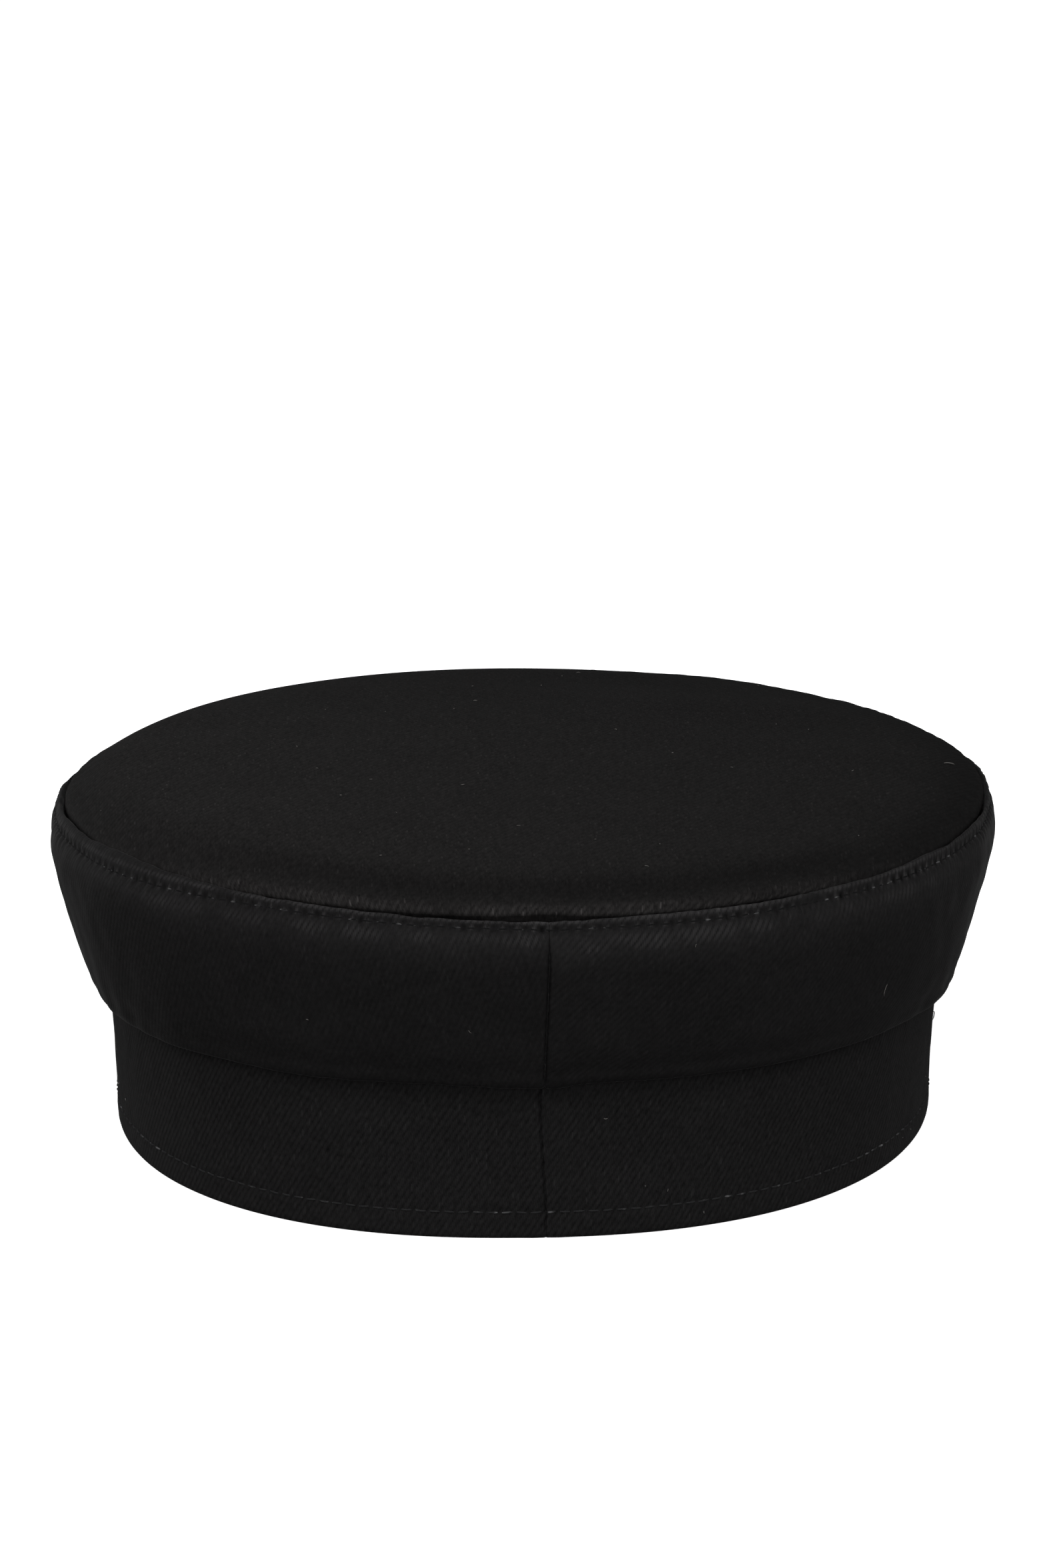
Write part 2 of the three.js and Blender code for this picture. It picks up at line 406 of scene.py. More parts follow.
def twillMaterial(name, changes):
    # Each warp yarn floats over three picks and dips under the fourth, one pick higher on each next yarn.
    # Height is the arch of the float times the round of the yarn: sin(pi t)^0.6 * (0.3 + 0.7 sin(pi f)).
    look = {**cloth, **changes}
    material, start = newMaterial(name)
    coordinate = start.node("ShaderNodeUVMap", {"uv_map": "cloth"})
    across = start.node("ShaderNodeSeparateXYZ", None, {"Vector": coordinate})
    upward = across.other(1)
    wander = start.noise(coordinate, look["wander"], 1.0) - 0.5
    yarn = across / look["warpPitch"] + wander * look["wanderAcross"]
    column = yarn.floor()
    run = (upward / look["pickPitch"] - column) / look["repeat"] + wander * look["wanderAlong"]
    arch = ((run.fraction() / look["floatShare"]).clamp() * math.pi).sine().clamp() ** 0.6
    height = arch * ((yarn.fraction() * math.pi).sine() * 0.7 + 0.3)
    # Along and across the ribs, in rib lengths, for flecks that lie along them
    slope = math.atan2(look["pickPitch"], look["warpPitch"])
    cosine, sine = math.cos(slope), math.sin(slope)
    ribPitch = look["repeat"] * look["pickPitch"] * cosine
    along = (across * cosine + upward * sine) / (look["fleckLength"] * ribPitch)
    over = (upward * cosine - across * sine) / ribPitch
    ribPlace = start.node("ShaderNodeCombineXYZ", None, {0: along, 1: over})
    fleck = start.noise(ribPlace, 1.3, 1.5) * 2 - 1
    grain = start.noise(coordinate, look["grainScale"], 3.0) * 2 - 1
    patch = start.noise(coordinate, look["patchScale"], 3.0) * 2 - 1
    floatPlace = start.node("ShaderNodeCombineXYZ", None, {0: column, 1: run.floor()})
    chance = start.node("ShaderNodeTexWhiteNoise", {"noise_dimensions": "2D"}, {"Vector": floatPlace})
    glint = ((chance - (1 - look["glintShare"])) / look["glintShare"]).clamp()
    # A value for each point: paler or darker cloth, partly rubbed and partly painted light and shade
    wearAndPaintedLight = start.node("ShaderNodeAttribute", {"attribute_name": "wearAndPaintedLight"}, output=2)
    # Where the cloth is paler, partly rubbed and partly painted highlight, the ridges are painted lighter
    # more than the valleys are painted darker
    rubbedAndPaintedLight = (wearAndPaintedLight - look["paleFrom"]).clamp(0.0, 0.2) * look["paleContrast"] + 1
    ribs = height - 0.62 + rubbedAndPaintedLight * 0.07
    shade = (
        1 + ribs * rubbedAndPaintedLight * look["ribContrast"] + glint * arch * rubbedAndPaintedLight ** 0.5 * look["glint"]
        + fleck * look["fleck"] + grain * look["grain"] + patch * look["patch"]
        + (chance * 2 - 1) * arch * look["float"]
    ).clamp(0.25, 3.0)
    tint = {0: look["colour"], "Scale": shade * (1 + wearAndPaintedLight)}
    relief = height + fleck * 0.25 + grain * 0.3
    bump = {"Strength": 1.0, "Distance": look["ribDepth"], "Height": relief}
    surface(start, {
        "Base Color": start.node("ShaderNodeVectorMath", {"operation": "SCALE"}, tint),
        "Roughness": look["roughness"],
        "Specular IOR Level": look["specular"],
        "Sheen Weight": look["sheen"],
        "Sheen Roughness": look["sheenRoughness"],
        "Normal": start.node("ShaderNodeBump", None, bump),
    })
    return material


thread = {
    "twist": 2600.0,  # waves per metre of the thread's lay
    "twistDepth": 0.00004,
    "roughness": 0.7,
    "specular": 0.05,
    "rare": 0.58,  # the painted glints show from this noise value up
    # each row's colours, dark thread and pale painted glint, and how many glints per metre
    "hem": {"dark": (0.02, 0.02, 0.0206, 1), "pale": (0.11, 0.11, 0.1122, 1), "glintsPerMetre": 420.0},
    "crown": {"dark": (0.007, 0.007, 0.00721, 1), "pale": (0.09, 0.09, 0.0918, 1), "glintsPerMetre": 500.0},
}


def threadMaterial(name, look):
    # Polished cotton: a fine slanted wave for the twist, and pale spots of painted glint
    material, start = newMaterial(name)
    place = start.node("ShaderNodeTexCoord", output=3)
    wave = {"Vector": place, "Scale": thread["twist"], "Distortion": 1.0}
    lay = start.node("ShaderNodeTexWave", {"bands_direction": "DIAGONAL"}, wave, output=1)
    glintMask = ((start.noise(place, look["glintsPerMetre"], 1.0) - thread["rare"]) * 8).clamp()
    bump = {"Strength": 0.6, "Distance": thread["twistDepth"], "Height": lay}
    surface(start, {
        "Base Color": start.blend(glintMask, look["dark"], look["pale"]),
        "Roughness": thread["roughness"],
        "Specular IOR Level": thread["specular"],
        "Normal": start.node("ShaderNodeBump", None, bump),
    })
    return material


def plainMaterial(name, colour, roughness):
    # One colour with a fine grain, up to a fifth darker
    material, start = newMaterial(name)
    grain = start.noise(start.node("ShaderNodeTexCoord", output=3), 2000.0, 1.0)
    darker = (*(0.8 * part for part in colour[:3]), 1)
    tone = start.blend(grain, darker, colour)
    surface(start, {"Base Color": tone, "Roughness": roughness, "Specular IOR Level": 0.2})
    return material


hemThread = threadMaterial("hemThread", thread["hem"])
crownThread = threadMaterial("crownThread", thread["crown"])
print("materials ready")

headband = {
    "outside": [
        [-2.2, 0.75], [-1.75, 0.18], [-1, 0], [-0.35, 0.12], [0.12, 0.65], [0.24, 1.6], [0.32, 4],
        [0.42, 8], [0.56, 15], [1, 24], [1.28, 31], [1.3, 33.3],
    ],
    "inside": [
        [-0.55, 33.4], [-0.75, 24], [-1.1, 15], [-1.3, 12.6], [-1.75, 11.9], [-2.25, 11.2],
        [-2.38, 8], [-2.4, 2.2],
    ],
    "wall": 1.8,
    "rows": 1150,
    "columns": [46, 20],  # on the outside and the inside
    "stitchUp": 5.5,
    "stitchEnd": math.radians(125),  # the peak's corners are here
    "stitchPull": 0.08,
    "stitchSink": 0.06,
    "seamRadius": 0.55,
    "seamCut": 0.35,
    "seamWelt": 0.1,
    "seamAside": 0.5,
    "seamLean": 1.2,  # the seam wanders this far towards the left at the top
    "softForm": [[0.16, 22, 70, 3], [0.035, 5, 11, 4]],
    "cloth": {
        "colour": (0.011, 0.0106, 0.0108), "ribContrast": 0.5, "fleck": 0.4, "grain": 0.5, "float": 0.12,
        "glint": 0.5, "sheen": 0.011,
    },
}
headbandTurn, headbandLength, headbandRound = turnTable(0.7, 15.0)
headbandStep = headbandRound / round(headbandRound / stitch["pitch"])
headbandOutside = smoothLine(headband["outside"])
headbandInside = smoothLine(headband["inside"])


def headbandPoint(across, outward, up, normalOut, normalUp, outer):
    # Oval ring plus: slow ripples, the pull of the hem stitches, and a round-edged seam at the back.
    fromHole = (across / headbandStep - np.round(across / headbandStep)) * headbandStep
    fromRow = up - headband["stitchUp"]
    depth = headband["stitchPull"]
    pull = -depth * bell(fromRow, 0.8) - depth * bell(fromHole, 0.5) * bell(fromRow, 0.6)
    soft = softForm(across, up, headbandRound, headband["softForm"])
    seamAt = headband["seamAside"] - headband["seamLean"] * smoothStep(2, 28, up) + 0.12 * np.sin(up * 1.7)
    fromSeam = np.abs(across - seamAt)
    radius = headband["seamRadius"] * (1 + 0.25 * np.sin(up * 2 * math.pi / 2.9))
    seam = -roundOff(fromSeam, radius) - headband["seamCut"] * bell(fromSeam, 0.16)
    seam = seam * (0.3 + 0.7 * smoothStep(0.5, 3, up)) + headband["seamWelt"] * bell(fromSeam - 2.6, 1.8)
    shift = (pull + soft * smoothStep(0, 3, up) + seam) * outer
    turn = np.interp(across, headbandLength, headbandTurn)
    point = onOval(turn, outward + normalOut * shift, up + normalUp * shift * 0.3)
    point[..., 2] = np.maximum(point[..., 2], 0)  # it stands on the floor
    return point


def headbandSkin(across, run, outer=1.0):
    return headbandPoint(across, *pick(headbandOutside, run), outer)


def buildHeadband():
    half, wall = headbandRound / 2, headband["wall"]
    outColumns, inColumns = headband["columns"]
    across = spread(-half, half, headband["rows"] + 1, [(0, 2.2, 5.0)])[:, None]
    outLine = spread(0, headbandOutside[-1, 0], outColumns, [(8.2, 1.6, 1.6), (1.8, 1.6, 2.0)])
    inLine = spread(0, headbandInside[-1, 0], inColumns)
    # The inside line runs down, so its own normal points into the wall's hollow side already.
    inside = headbandPoint(across[:-1], *pick(headbandInside, inLine), 0.0)
    points = np.hstack([headbandSkin(across[:-1], outLine), inside])
    run = np.hstack([outLine, outLine[-1] + wall + inLine, outLine[-1] + 2 * wall + inLine[-1]])
    flat = np.stack(np.broadcast_arrays(across, run), axis=-1) * mm
    material = twillMaterial("blackTwillHeadband", headband["cloth"])
    return finishPiece(addWall("headbandCloth", points, flat, True, material), "headband")


def buildHemStitches():
    # The row runs round the back from one corner of the peak to the other.
    rising = headbandOutside[headbandOutside[:, 2] > 0.5]
    run = np.interp(headband["stitchUp"], rising[:, 2], rising[:, 0])
    last = int(np.interp(headband["stitchEnd"], headbandTurn, headbandLength) / headbandStep)
    centres = (np.arange(-last, last) + 0.5) * headbandStep
    read = rowOn(headbandSkin, lambda along: run + 0 * along)
    return stitchRow("hemStitches", read, centres, hemThread, 31, headband["stitchSink"])


buildHeadband()
buildHemStitches()
print("headband done")

band = {
    "outside": [
        [1.6, 31.6], [2.5, 30.7], [3.6, 30.25], [4.8, 30.7], [5.6, 31.9], [6.2, 33.8], [7.5, 37.2],
        [9.8, 45], [12.1, 54], [12.95, 58], [13, 60.2], [12.5, 62.4], [11.75, 64.1], [11.05, 65.3],
        [10.55, 66.1], [9.9, 66.45], [9.2, 66.1], [8.8, 65.3], [8.6, 64.4], [8.5, 63.2], [8.25, 62.1],
        [7.5, 61.5], [6, 61.3], [4.2, 61.25],
    ],
    # The seam allowance is turned in under the tip's edge.
    "inside": [
        [4.1, 60.15], [6, 60.15], [7.6, 60.2], [9.1, 60.6], [9.8, 61.6], [10, 62.8], [10.35, 63.3],
        [10.8, 62.9], [11.15, 61.2], [11.1, 58.4], [10.3, 54], [8, 45], [5.7, 37.4], [4.4, 33.8],
        [3.4, 32.6], [2.4, 32.5], [1.7, 32.8],
    ],
    "wall": 1.5,
    "rows": 800,
    "columns": [77, 27],  # on the outside and the inside
    "stitchUp": 65.2,
    "stitchDrop": [1.5, 0.6],  # how much lower the row runs at the wearer's left side, and the right
    "stitchSink": 0.16,
    "rowDepth": 0.18,
    "holeDepth": 0.34,
    "welts": [[1.3, 0.5, 0.10], [-2.4, 1.3, 0.16]],  # [run above the stitches, half width, height]
    "pucker": 0.05,
    "seamRadius": 0.65,
    "seamCut": 0.3,
    "seamPress": 0.14,
    "seamLean": 0.5,
    "softForm": [[0.22, 25, 80, 12], [0.05, 5, 12, 13]],
    "coneRadius": 807.0,  # the panels are cut on a curve, so the grain turns along them
    "middleRun": 22.0,
    "lipRise": 2.75,  # the lip sits higher at the back than at the sides
    "lipDrop": 0.74,
    "lipSag": 0.55,  # and hangs a little beside the back seam
    "crestInside": 8.6,
    "rollFrom": [12.55, 62.2],  # the rim's roll starts here, and is squeezed towards this point
    "rollWidth": 4.5,
    "sideSqueeze": 2.33,
    "frontSqueeze": 1.36,
    "frontPull": 1.2,
    "frontAt": [math.radians(112), math.radians(19)],  # place and half width of these two
    # pale and dark strips: the pale ones at the crest, the row and the slashes are partly rubbed cloth and
    # partly
    #     # painted highlight, the darker ones are painted shade: [run above the stitches, half width, how
    #     much paler]
    "rubbedAndPaintedLight": [[1.5, 0.5, 1], [0.1, 0.6, 0.05], [-2.2, 1.6, 0.44], [-0.5, 3, -0.1], [-17, 7, -0.09]],
    "wearAndLightAtSides": 0.35,  # share of these strips, partly rubbing and partly painted light and shade, at the cap's two sides
    "holeShade": -0.3,
    "holeRidge": 0.8,
    "seamDip": [1.0, 6.0, 0.2],  # the crest dips beside the back seam: place, half width, depth
    "crestLift": [math.radians(52), math.radians(22), 1.0],  # and stands higher here on both sides
    "cloth": {
        "ribDepth": 0.00003, "ribContrast": 0.22, "fleck": 0.32, "grain": 0.4, "float": 0.1, "glint": 0.2,
        "glintShare": 0.08, "paleContrast": 15.0, "sheen": 0.035,
    },
}
bandTurn, bandLength, bandRound = turnTable(9.0, 45.0)
bandStep = bandRound / round(bandRound / stitch["pitch"])
bandOutside = smoothLine(band["outside"])
bandInside = smoothLine(band["inside"])
bandRising = bandOutside[np.argmin(bandOutside[:, 2]):np.argmax(bandOutside[:, 2])]
bandStitchRun = np.interp(band["stitchUp"], bandRising[:, 2], bandRising[:, 0])


def bandTurnAt(across):
    return np.interp(across, bandLength, bandTurn)


def atSides(turn):
    return smoothStep(0.42, 0.85, np.abs(np.sin(turn)))


def beforeSides(turn):
    place, width = band["frontAt"]
    return bell(np.abs(turn) - place, width)


def bandStitchAt(across):
    # The row runs lower at the cap's two sides, where the crest is broader.
    drop = np.where(across < 0, *band["stitchDrop"])
    return bandStitchRun - drop * atSides(bandTurnAt(across))


def rimKeep(turn):
    # The share left of the rolled rim's width: least at the cap's two sides and a little before them
    squeeze = band["sideSqueeze"] * np.abs(np.sin(turn)) ** 6 + band["frontSqueeze"] * beforeSides(turn)
    return 1 - squeeze / band["rollWidth"]


def crestInside(turn):
    # How far outward the crest's inner face stands
    rollOut, _ = band["rollFrom"]
    return rollOut + (band["crestInside"] - rollOut) * rimKeep(turn) - band["frontPull"] * beforeSides(turn)


def bandPoint(across, run, outward, up, normalOut, normalUp, outer):
    # Oval ring plus: stitch holes, welts, puckers, slow ripples, a sagging lip and rolled seam ends
    fromHole = fromMiddle(across, bandStep)
    fromRow = run - bandStitchAt(across)
    hole = -band["holeDepth"] * bell(fromHole, 0.55) * bell(fromRow, 0.55)
    hole = hole - band["rowDepth"] * bell(fromRow, 0.6)
    pucker = band["pucker"] * np.cos(2 * math.pi * across / bandStep) * bell(np.abs(fromRow) - 1.2, 1.0)
    pucker = pucker * (1 + 0.6 * ripples(across, run, bandRound, (9, 25), 11))
    soft = softForm(across, run, bandRound, band["softForm"]) * smoothStep(0, 6, run)
    fromEnd = np.minimum(np.abs(across), bandRound / 2 - np.abs(across))
    calm = (1 - 0.75 * smoothStep(60, 63, up)) * (0.4 + 0.6 * smoothStep(30.5, 33.5, up))
    calm = calm * smoothStep(3.2, 1.8, fromRow)  # the turned-in seam allowance meets edge to edge
    radius = band["seamRadius"] * calm * (1 + 0.45 * np.sin(run * 2 * math.pi / stitch["pitch"]))
    seam = -roundOff(fromEnd, radius) * 1.3 - band["seamCut"] * calm * bell(fromEnd, 0.4)
    press = band["seamPress"] * bell(fromEnd - 3.0, 2.0) * outer
    shift = (hole + ridges(fromRow, band["welts"]) + pucker + soft) * outer + seam + press
    lean = band["seamLean"] * smoothStep(34, 60, up) * bell(across, 9)
    turn = bandTurnAt(across + lean)
    sagLeft = band["lipSag"] * bell(across + 6, 13)
    sagRight = band["lipSag"] * bell(across, 5) - 0.25 * smoothStep(4, 10, across)
    sag = np.where(across < 0, sagLeft, sagRight) * (np.abs(across) < bandRound / 4)
    sag = sag - band["lipRise"] * np.clip(np.cos(turn), 0, None) ** 1.2 + band["lipDrop"]
    drop = sag * (1 - smoothStep(31, 42, up))
    rollOut, rollUp = band["rollFrom"]
    keep = rimKeep(turn)
    outward = outward + (rollOut - outward) * (1 - keep) * smoothStep(59, rollUp, up)
    outward = outward - band["frontPull"] * beforeSides(turn) * smoothStep(50, 60, up)
    up = np.where(up > rollUp, rollUp + (up - rollUp) * keep ** 0.29, up)
    dipAt, dipWidth, dipDepth = band["seamDip"]
    liftAt, liftWidth, lift = band["crestLift"]
    rise = lift * bell(np.abs(turn) - liftAt, liftWidth) - dipDepth * bell(across - dipAt, dipWidth)
    up = up + rise * smoothStep(63, 66, up)
    return onOval(turn, outward + normalOut * shift, up + normalUp * shift - drop)


def bandSkin(across, run, outer=1.0):
    return bandPoint(across, run, *pick(bandOutside, run), outer)


def bandCloth(across, run):
    # Flat pattern of a cone: the panel is an arc about its own middle, so one grain slants more at one end.
    middle = np.sign(across.mean()) * bandRound / 4
    angle = (across - middle) / band["coneRadius"]
    reach = band["coneRadius"] + run - band["middleRun"]
    return np.stack([reach * np.sin(angle), reach * np.cos(angle) - band["coneRadius"]], axis=-1) * mm


def bandWearAndPaintedLight(across, run):
    fromRow = run - bandStitchAt(across)
    # The pale strip below the stitches reaches further down beside the seam, on the wearer's right.
    stripAt = band["rubbedAndPaintedLight"][2][0]
    deeper = 1 + (across > 0) * bell(across, 25)
    below = np.where(fromRow < stripAt, (fromRow - stripAt) / deeper + stripAt, fromRow)
    rubbedAndPaintedLight = ridges(below, band["rubbedAndPaintedLight"]) * (1 + (band["wearAndLightAtSides"] - 1) * atSides(bandTurnAt(across)))
    # Each needle hole is painted dark, as shade in its dimple, and the cloth between two of them is paler.
    fromHole = fromMiddle(across, bandStep)
    patchy = 1 + 0.6 * ripples(across, 0, bandRound, (4, 11), 16)
    rubbedAndPaintedLight = rubbedAndPaintedLight + band["holeShade"] * patchy * bell(fromHole, 0.5) * bell(fromRow, 0.55)
    between = bell(np.abs(fromHole) - bandStep / 2, 0.45)
    rubbedAndPaintedLight = rubbedAndPaintedLight + band["holeRidge"] * between * bell(fromRow - 0.2, 0.5)
    uneven = 1 + 0.35 * ripples(across, 0, bandRound, (12, 60), 14)
    return rubbedAndPaintedLight * (uneven + 0.3 * ripples(across, run, bandRound, (4, 11), 15))


def buildBandHalf(name, node, side):
    start, end = sorted([0.0, side * bandRound / 2])
    wall = band["wall"]
    outColumns, inColumns = band["columns"]
    across = spread(start, end, band["rows"], [(start, 1.6, 4.0), (end, 1.6, 4.0)])[:, None]
    outLine = spread(0, bandOutside[-1, 0], outColumns, [(bandStitchRun + 0.5, 1.8, 5.0), (3.5, 3.0, 1.5)])
    inLine = spread(0, bandInside[-1, 0], inColumns, [(5.5, 4.0, 1.5)])
    inside = bandPoint(across, outLine[-1] - inLine, *pick(bandInside, inLine), 0.0)
    points = np.hstack([bandSkin(across, outLine), inside])
    run = np.hstack([outLine, outLine[-1] + wall + inLine, outLine[-1] + 2 * wall + inLine[-1]])
    wearAndPaintedLight = np.hstack([bandWearAndPaintedLight(across, outLine), np.zeros((len(across), inColumns))])
    return finishPiece(addWall(name, points, bandCloth(across, run), False, bandTwill, wearAndPaintedLight), node)


def buildBandStitches():
    last = math.ceil(bandRound / 2 / bandStep) - 1
    centres = np.arange(-last, last + 1) * bandStep
    read = rowOn(bandSkin, bandStitchAt)
    return stitchRow("crownStitches", read, centres, crownThread, 32, band["stitchSink"])


bandTwill = twillMaterial("blackTwillBand", band["cloth"])
buildBandHalf("bandLeftCloth", "crown_band_left", -1)
buildBandHalf("bandRightCloth", "crown_band_right", 1)
buildBandStitches()
print("crown band done")

tip = {
    # [in from the edge, up]: the edge rolls under into the groove behind the band's crest
    "over": [
        [1.15, 63.2], [1.15, 64.5], [1.1, 65.3], [0.95, 65.95], [0.8, 66.4], [0.72, 66.8], [0.85, 67.4],
        [1.2, 68], [1.9, 68.45], [3, 68.72], [4.8, 69.05], [7.5, 69.75], [11, 70.75], [15, 71.3],
        [22, 71.8], [36, 72.2], [60, 72.5], [84, 72.65], [97, 72.68],
    ],
    "under": [
        [97, 71.1], [84, 71.05], [60, 70.9], [36, 70.6], [22, 70.2], [15, 69.65], [11, 69.05],
        [7.5, 68.1], [5.2, 67], [4, 66], [3.75, 64.6], [3.75, 63.2],
    ],
    "rows": 920,
    "columns": [72, 22],  # on the upper face and the under face
    "edgeOut": 7.6,
    "edgeUp": 66.0,
    "gap": [1.0, 0.3],  # from the band's crest to the edge, at the back and at the two sides
    "seamGap": 0.6,  # and wider beside the back seam
    "widest": 0.72,
    "sideSink": 1.6,  # the edge lies lower at the two sides
    "seamLift": 0.4,  # and higher beside the back seam, where the groove is deep
    "meanRadius": 98.0,
    "halfSize": [95.0, 107.0],
    "leanAcross": 1.5,  # higher towards the wearer's left
    "dome": 0.23,
    "dents": 0.2,
    "dentStretch": 0.45,  # the dents are longer across the cap
    "gathers": 0.05,
    # paler or darker rings: the pale edge ring is partly rubbed cloth and partly painted highlight, the
    # darker
    #     # ring on the slope behind it is painted shade: [in from the edge, half width, how much]
    "rubbedAndPaintedLight": [[1.0, 0.9, 0.55], [7.5, 5.5, -0.44]],
    "backOnly": math.radians(50),  # the pale ring fades out this far round from the back
    "lowEdge": 1.1,  # and is this much paler at its lower side, where the edge rolls down: painted highlight
    # painted shade at the two sides and in the groove behind the band's crest
    "sideShade": -0.28,
    "grooveShade": -1.2,
    "paintedLightTilt": [0.24, 0.02],  # painted light: paler towards the wearer's left and the back
    "frontShade": -0.42,  # and painted shade, darker at the front
    "cloth": {
        # painted light: a warmer, slightly darker copy of the cloth colour, set for the light that falls on
        # the top
        "colour": (0.0098, 0.0092, 0.0091), "ribDepth": 0.00003, "ribContrast": 0.16, "fleck": 0.32,
        "grain": 0.62, "grainScale": 900.0, "float": 0.38, "glint": 0.8, "paleContrast": 13.0,
    },
}
tipTurn, tipLength, tipRound = turnTable(tip["edgeOut"], tip["edgeUp"])
tipOver = smoothLine(tip["over"])
tipUnder = smoothLine(tip["under"])


def tipTurnAt(across):
    return np.interp(across, tipLength, tipTurn)


def tipPoint(across, inward, up, outer):
    # The edge oval shrunk by (1 - inward / mean radius), leaning and domed, with dents and short gathers
    turn = tipTurnAt(across)
    sides = atSides(turn)
    backGap, sideGap = tip["gap"]
    gap = backGap + (sideGap - backGap) * sides + tip["seamGap"] * bell(across, 6)
    outward = crestInside(turn) - gap + tip["widest"]
    up = up - tip["sideSink"] * sides * bell(inward - tip["widest"], 4.2)
    up = up + tip["seamLift"] * bell(across, 7) * smoothStep(68.6, 67.0, up) * outer
    point = onOval(turn, outward, up, 1 - inward / tip["meanRadius"])
    x, y = np.moveaxis(point[..., :2] / tip["halfSize"], -1, 0)
    lean = tip["leanAcross"] * x + tip["dome"] * (0.5 - x ** 2 - y ** 2)
    dents = tip["dents"] * ripples(point[..., 0] * tip["dentStretch"], point[..., 1], 1000.0, (22, 60), 21)
    dents = dents * smoothStep(8, 26, inward)
    gathers = tip["gathers"] * ripples(across, inward * 0.2, tipRound, (3.0, 7.0), 22)
    gathers = gathers * bell(inward - 2.5, 3.0)
    point[..., 2] += lean * smoothStep(0, 14, inward) + (dents + gathers) * outer
    return point


def tipSkin(across, run):
    inward, up, _, _ = pick(tipOver, run)
    return tipPoint(across, inward, up, 1.0)


def tipWearAndPaintedLight(across, inward, up, points):
    # A pale ring on the edge at the back, partly rubbed and partly painted highlight, a darker ring of
    # painted
    #     # shade behind it, painted shade at the sides and in the groove, and painted light that is paler
    #     towards
    #     # the left and the back and darker at the front
    turn = tipTurnAt(across)
    sides = atSides(turn)
    (edgeAt, edgeWidth, edgePaler), (slopeAt, slopeWidth, slopePaler) = tip["rubbedAndPaintedLight"]
    edge = edgePaler * bell(inward - edgeAt, edgeWidth) * bell(turn, tip["backOnly"])
    edge = edge * (1 + 0.15 * ripples(across, 0, tipRound, (12, 60), 23))
    edge = edge * (1 + tip["lowEdge"] * smoothStep(67.8, 66.7, up))
    edge = edge + tip["grooveShade"] * smoothStep(66.6, 66.15, up) * (1 - 0.7 * sides)
    slope = slopePaler * bell(inward - slopeAt, slopeWidth) * (1 - 0.5 * sides)
    wearAndPaintedLight = edge + slope + tip["sideShade"] * sides * bell(inward - 2, 4.5)
    x, y = np.moveaxis(points[..., :2] / tip["halfSize"], -1, 0)
    return wearAndPaintedLight + tip["paintedLightTilt"][0] * x + tip["paintedLightTilt"][1] * y + tip["frontShade"] * bell(y + 1, 0.65)


def buildTip():
    rows = tip["rows"]
    overColumns, underColumns = tip["columns"]
    across = np.linspace(-tipRound / 2, tipRound / 2, rows, endpoint=False)[:, None]
    overLine = spread(0, tipOver[-1, 0], overColumns, [(4.8, 2.2, 9.0), (10, 8.0, 2.5)])[::-1]
    underLine = spread(0, tipUnder[-1, 0], underColumns, [(tipUnder[-1, 0] - 5, 4.0, 4.0)])[::-1]
    inward, up, _, _ = pick(tipOver, overLine)
    overPoints = tipPoint(across, inward, up, 1.0)
    wearAndPaintedLight = tipWearAndPaintedLight(across, inward, up, overPoints)
    inward, up, _, _ = pick(tipUnder, underLine)
    underPoints = tipPoint(across, inward, up, 0.0)
    grid = np.hstack([overPoints, underPoints])
    columns = grid.shape[1]
    # Flat cloth: each point lies as far from the middle as the line runs to it.
    whole = tipOver[-1, 0] + tip["meanRadius"] - tip["over"][-1][0]
    span = np.hstack([whole - overLine, whole + 3 + tipUnder[-1, 0] - underLine])
    ring = onOval(tipTurnAt(across), np.float64(tip["edgeOut"]), np.full((rows, 1), tip["edgeUp"]))
    ring = np.vstack([ring[:, 0, :2], ring[:1, 0, :2]])
    flat = -ring[:, None, :] * (span / tip["meanRadius"])[None, :, None] * mm
    faces, flatIndex = gridFaces(rows, columns, True, False)
    # Both faces are closed by a fan about a point in the middle.
    middles = [overPoints[:, 0].mean(axis=0), underPoints[:, -1].mean(axis=0)]
    points = np.vstack([grid.reshape(-1, 3), middles])
    here = np.arange(rows) * columns
    after = np.roll(here, -1)
    hub = np.full(rows, rows * columns)
    top = np.column_stack([hub, here, after])
    under = np.column_stack([hub + 1, after + columns - 1, here + columns - 1])
    middle = np.zeros((rows, 2))
    corners = [
        flat.reshape(-1, 2)[flatIndex[:, ::-1].ravel()],
        np.stack([middle, flat[:-1, 0], flat[1:, 0]], axis=1).reshape(-1, 2),
        np.stack([middle, flat[1:, -1], flat[:-1, -1]], axis=1).reshape(-1, 2),
    ]
    wearAndPaintedLight = np.append(np.hstack([wearAndPaintedLight, np.zeros((rows, underColumns))]), [0, 0])
    material = twillMaterial("blackTwillTip", tip["cloth"])
    parts = [faces[:, ::-1], top, under]
    piece = addMesh("tipCloth", points, parts, np.concatenate(corners), material, wearAndPaintedLight)
    return finishPiece(piece, "crown_tip")


buildTip()
print("crown tip done")

peak = {
    "rootOut": 0.35,
    "halfAngle": math.radians(56),
    "length": 46.0,
    "cornerLength": 1.5,
    "wall": 2.6,
    "rootUp": 4.6,
    "edgeUp": 2.2,
    "arch": 2.0,
    "rows": 700,
    "columns": [44, 15],  # on each face and round the edge
    "seamDepth": 0.3,  # the groove round the edge, where its two cloths meet
    "stitchIn": 5.0,
    "stitchReach": 7.5,  # the rows stop where the peak is this short
    "stitchPull": [0.1, 0.2],  # how deep the row and its holes are
    "stitchSink": 0.1,
    "softForm": [[0.1, 14, 45, 41]],
    "cloth": {"ribContrast": 0.4, "fleck": 0.36, "grain": 0.44},
}


def peakFullness(part):
    return np.abs(np.cos(part * math.pi / 2))


